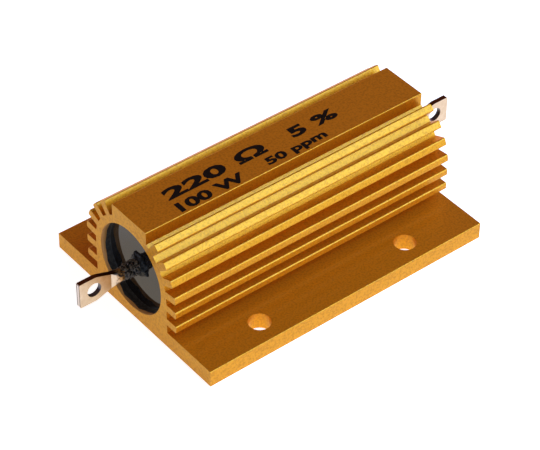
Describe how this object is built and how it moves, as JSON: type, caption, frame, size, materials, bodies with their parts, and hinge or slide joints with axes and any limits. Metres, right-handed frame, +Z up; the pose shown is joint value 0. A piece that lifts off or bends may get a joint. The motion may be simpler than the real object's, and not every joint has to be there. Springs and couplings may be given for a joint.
{
  "type": "aluminium housed power resistor",
  "caption": "Wirewound power resistor in a finned gold anodised aluminium extrusion, with a flange that bolts flat to a heatsink, black moulded ends and a drilled blade terminal at each end.",
  "frame": {"origin": "centre of the mounting face", "axes": "+X along the housing towards the right-hand terminal, +Y across the flange, +Z up from the mounting face"},
  "size_m": [0.0884, 0.0474, 0.0237],
  "materials": {
    "gold_anodised_aluminium": "extruded, gold anodised, satin with a clear lustre",
    "black_compound": "mirror-gloss black moulding compound",
    "core_ceramic": "unglazed alumina or steatite, off-white",
    "resistance_wire": "drawn resistance alloy, dull grey",
    "cap_steel": "pressed stainless steel",
    "tinned_brass": "tinned, warm grey, darker where it has tarnished"
  },
  "bodies": {
    "root": {"housing": "gold_anodised_aluminium", "moulding": "black_compound", "ceramic_core": "core_ceramic", "resistance_winding": "resistance_wire", "end_cap_left": "cap_steel", "end_cap_right": "cap_steel", "terminal_left": "tinned_brass", "terminal_right": "tinned_brass"}
  },
  "joints": []
}
